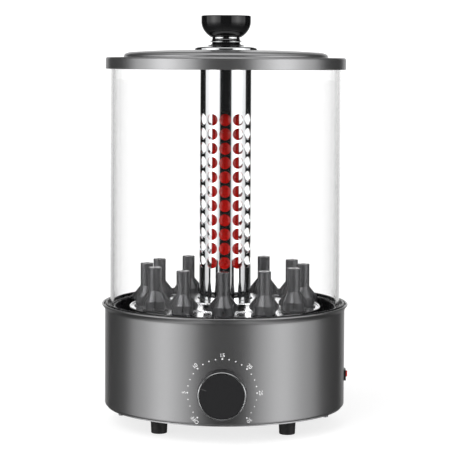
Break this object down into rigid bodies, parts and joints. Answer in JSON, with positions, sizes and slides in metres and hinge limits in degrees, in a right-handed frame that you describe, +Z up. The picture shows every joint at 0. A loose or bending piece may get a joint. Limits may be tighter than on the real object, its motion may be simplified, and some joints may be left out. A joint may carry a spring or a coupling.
{
  "type": "vertical skewer grill",
  "caption": "Countertop vertical skewer grill: round base, lift-out drip tray, turntable with geared spinning skewer cups, perforated heater column, glass cylinder and lift-off lid.",
  "frame": {"origin": "on the column axis, on the surface that the rubber feet stand on, at the centre of the footprint", "axes": "+Z up along the heater column; the timer knob faces -Y; the side switch is on +X; the power inlet faces +Y"},
  "size_m": [0.2463, 0.268, 0.4063],
  "materials": {
    "gunmetal_paint": "satin metallic paint with a fine flake",
    "zinc_steel": "bright zinc-plated sheet",
    "screw_steel": "bright zinc plate",
    "foot_rubber": "matt black",
    "seal_rubber": "matt dark grey silicone",
    "chrome_steel": "mirror chrome",
    "polished_steel": "polished stainless steel with faint turned marks",
    "pin_brass": "nickel-plated brass",
    "white_ceramic": "unglazed steatite",
    "cream_plastic": "natural engineering plastic",
    "red_quartz": "ruby quartz glass, seen as deep red",
    "heater_wire": "resistance wire with a burnt skin",
    "black_satin_plastic": "satin black",
    "black_gloss_plastic": "gloss black phenolic",
    "red_plastic": "gloss red",
    "black_enamel": "black non-stick coating",
    "grey_casting": "die-cast, tumbled",
    "grey_cup_coating": "dark grey satin coating on a casting",
    "clear_glass": "clear borosilicate glass"
  },
  "bodies": {
    "base": {"base_shell": "gunmetal_paint", "base_plate": "zinc_steel", "feet": "foot_rubber", "foot_screws": "screw_steel", "plate_screws": "screw_steel", "deck_plate": "zinc_steel", "deck_posts": "zinc_steel", "deck_screws": "screw_steel", "column_flange": "zinc_steel", "column_guard": "chrome_steel", "column_cap": "chrome_steel", "ceramic_holders": "white_ceramic", "quartz_tube": "red_quartz", "heating_coil": "heater_wire", "heater_rods": "screw_steel", "drive_motor": "zinc_steel", "motor_screws": "screw_steel", "timer_case": "zinc_steel", "timer_nut": "screw_steel", "switch_frame": "black_satin_plastic", "inlet_socket": "black_satin_plastic", "inlet_pins": "pin_brass", "inlet_screws": "screw_steel", "terminal_block": "cream_plastic", "thermal_cutout": "black_satin_plastic"},
    "drive": {"drive_gear": "cream_plastic"},
    "motor_pinion": {"motor_pinion": "cream_plastic"},
    "timer_knob": {"timer_shaft": "screw_steel", "timer_knob": "black_satin_plastic", "timer_knob_ring": "chrome_steel"},
    "switch_rocker": {"switch_rocker": "red_plastic"},
    "tray": {"drip_tray": "black_enamel", "sun_gear": "grey_casting", "sun_rivets": "screw_steel"},
    "carousel": {"turntable": "polished_steel", "turntable_hub": "black_satin_plastic", "hub_screws": "screw_steel", "cup_bushes": "black_satin_plastic"},
    "glass": {"glass_cylinder": "clear_glass"},
    "lid": {"lid_cover": "gunmetal_paint", "lid_seal": "seal_rubber", "lid_rose": "chrome_steel", "lid_collar": "black_gloss_plastic", "lid_neck": "chrome_steel", "lid_knob": "black_gloss_plastic", "lid_knob_screw": "screw_steel"},
    "cup_1": {"skewer_cup_1": "grey_cup_coating"},
    "cup_2": {"skewer_cup_2": "grey_cup_coating"},
    "cup_3": {"skewer_cup_3": "grey_cup_coating"},
    "cup_4": {"skewer_cup_4": "grey_cup_coating"},
    "cup_5": {"skewer_cup_5": "grey_cup_coating"},
    "cup_6": {"skewer_cup_6": "grey_cup_coating"},
    "cup_7": {"skewer_cup_7": "grey_cup_coating"},
    "cup_8": {"skewer_cup_8": "grey_cup_coating"},
    "cup_9": {"skewer_cup_9": "grey_cup_coating"},
    "cup_10": {"skewer_cup_10": "grey_cup_coating"},
    "cup_11": {"skewer_cup_11": "grey_cup_coating"},
    "cup_12": {"skewer_cup_12": "grey_cup_coating"}
  },
  "joints": [
    {"name": "tray_lift", "type": "slide", "parent": "base", "child": "tray", "axis": [0, 0, 1], "range_m": [0, 0.27]},
    {"name": "glass_lift", "type": "slide", "parent": "tray", "child": "glass", "axis": [0, 0, 1], "range_m": [0, 0.25]},
    {"name": "lid_lift", "type": "slide", "parent": "glass", "child": "lid", "axis": [0, 0, 1], "range_m": [0, 0.12]},
    {"name": "carousel_spin", "type": "hinge", "parent": "tray", "child": "carousel", "pos_m": [0, 0, 0.1137], "axis": [0, 0, 1], "continuous": true},
    {"name": "drive_spin", "type": "hinge", "parent": "base", "child": "drive", "pos_m": [0, 0, 0.0952], "axis": [0, 0, 1], "continuous": true},
    {"name": "motor_pinion_spin", "type": "hinge", "parent": "base", "child": "motor_pinion", "pos_m": [-0.0504, 0, 0.0952], "axis": [0, 0, 1], "continuous": true},
    {"name": "timer_turn", "type": "hinge", "parent": "base", "child": "timer_knob", "pos_m": [0, -0.1202, 0.0492], "axis": [0, 1, 0], "range_deg": [-64.4, 205.6]},
    {"name": "switch_rock", "type": "hinge", "parent": "base", "child": "switch_rocker", "pos_m": [0.12057, 0, 0.048], "axis": [0, 0, 1], "range_deg": [0, 22]},
    {"name": "cup_1_spin", "type": "hinge", "parent": "carousel", "child": "cup_1", "pos_m": [0, -0.0783, 0.1171], "axis": [0, 0, 1], "continuous": true},
    {"name": "cup_2_spin", "type": "hinge", "parent": "carousel", "child": "cup_2", "pos_m": [0.03915, -0.06781, 0.1171], "axis": [0, 0, 1], "continuous": true},
    {"name": "cup_3_spin", "type": "hinge", "parent": "carousel", "child": "cup_3", "pos_m": [0.06781, -0.03915, 0.1171], "axis": [0, 0, 1], "continuous": true},
    {"name": "cup_4_spin", "type": "hinge", "parent": "carousel", "child": "cup_4", "pos_m": [0.0783, 0, 0.1171], "axis": [0, 0, 1], "continuous": true},
    {"name": "cup_5_spin", "type": "hinge", "parent": "carousel", "child": "cup_5", "pos_m": [0.06781, 0.03915, 0.1171], "axis": [0, 0, 1], "continuous": true},
    {"name": "cup_6_spin", "type": "hinge", "parent": "carousel", "child": "cup_6", "pos_m": [0.03915, 0.06781, 0.1171], "axis": [0, 0, 1], "continuous": true},
    {"name": "cup_7_spin", "type": "hinge", "parent": "carousel", "child": "cup_7", "pos_m": [0, 0.0783, 0.1171], "axis": [0, 0, 1], "continuous": true},
    {"name": "cup_8_spin", "type": "hinge", "parent": "carousel", "child": "cup_8", "pos_m": [-0.03915, 0.06781, 0.1171], "axis": [0, 0, 1], "continuous": true},
    {"name": "cup_9_spin", "type": "hinge", "parent": "carousel", "child": "cup_9", "pos_m": [-0.06781, 0.03915, 0.1171], "axis": [0, 0, 1], "continuous": true},
    {"name": "cup_10_spin", "type": "hinge", "parent": "carousel", "child": "cup_10", "pos_m": [-0.0783, 0, 0.1171], "axis": [0, 0, 1], "continuous": true},
    {"name": "cup_11_spin", "type": "hinge", "parent": "carousel", "child": "cup_11", "pos_m": [-0.06781, -0.03915, 0.1171], "axis": [0, 0, 1], "continuous": true},
    {"name": "cup_12_spin", "type": "hinge", "parent": "carousel", "child": "cup_12", "pos_m": [-0.03915, -0.06781, 0.1171], "axis": [0, 0, 1], "continuous": true}
  ],
  "couplings": [
    {"joint": "drive_spin", "follows": "carousel_spin", "ratio": 1},
    {"joint": "motor_pinion_spin", "follows": "carousel_spin", "ratio": -6},
    {"joint": "cup_1_spin", "follows": "carousel_spin", "ratio": 8},
    {"joint": "cup_2_spin", "follows": "carousel_spin", "ratio": 8},
    {"joint": "cup_3_spin", "follows": "carousel_spin", "ratio": 8},
    {"joint": "cup_4_spin", "follows": "carousel_spin", "ratio": 8},
    {"joint": "cup_5_spin", "follows": "carousel_spin", "ratio": 8},
    {"joint": "cup_6_spin", "follows": "carousel_spin", "ratio": 8},
    {"joint": "cup_7_spin", "follows": "carousel_spin", "ratio": 8},
    {"joint": "cup_8_spin", "follows": "carousel_spin", "ratio": 8},
    {"joint": "cup_9_spin", "follows": "carousel_spin", "ratio": 8},
    {"joint": "cup_10_spin", "follows": "carousel_spin", "ratio": 8},
    {"joint": "cup_11_spin", "follows": "carousel_spin", "ratio": 8},
    {"joint": "cup_12_spin", "follows": "carousel_spin", "ratio": 8}
  ]
}
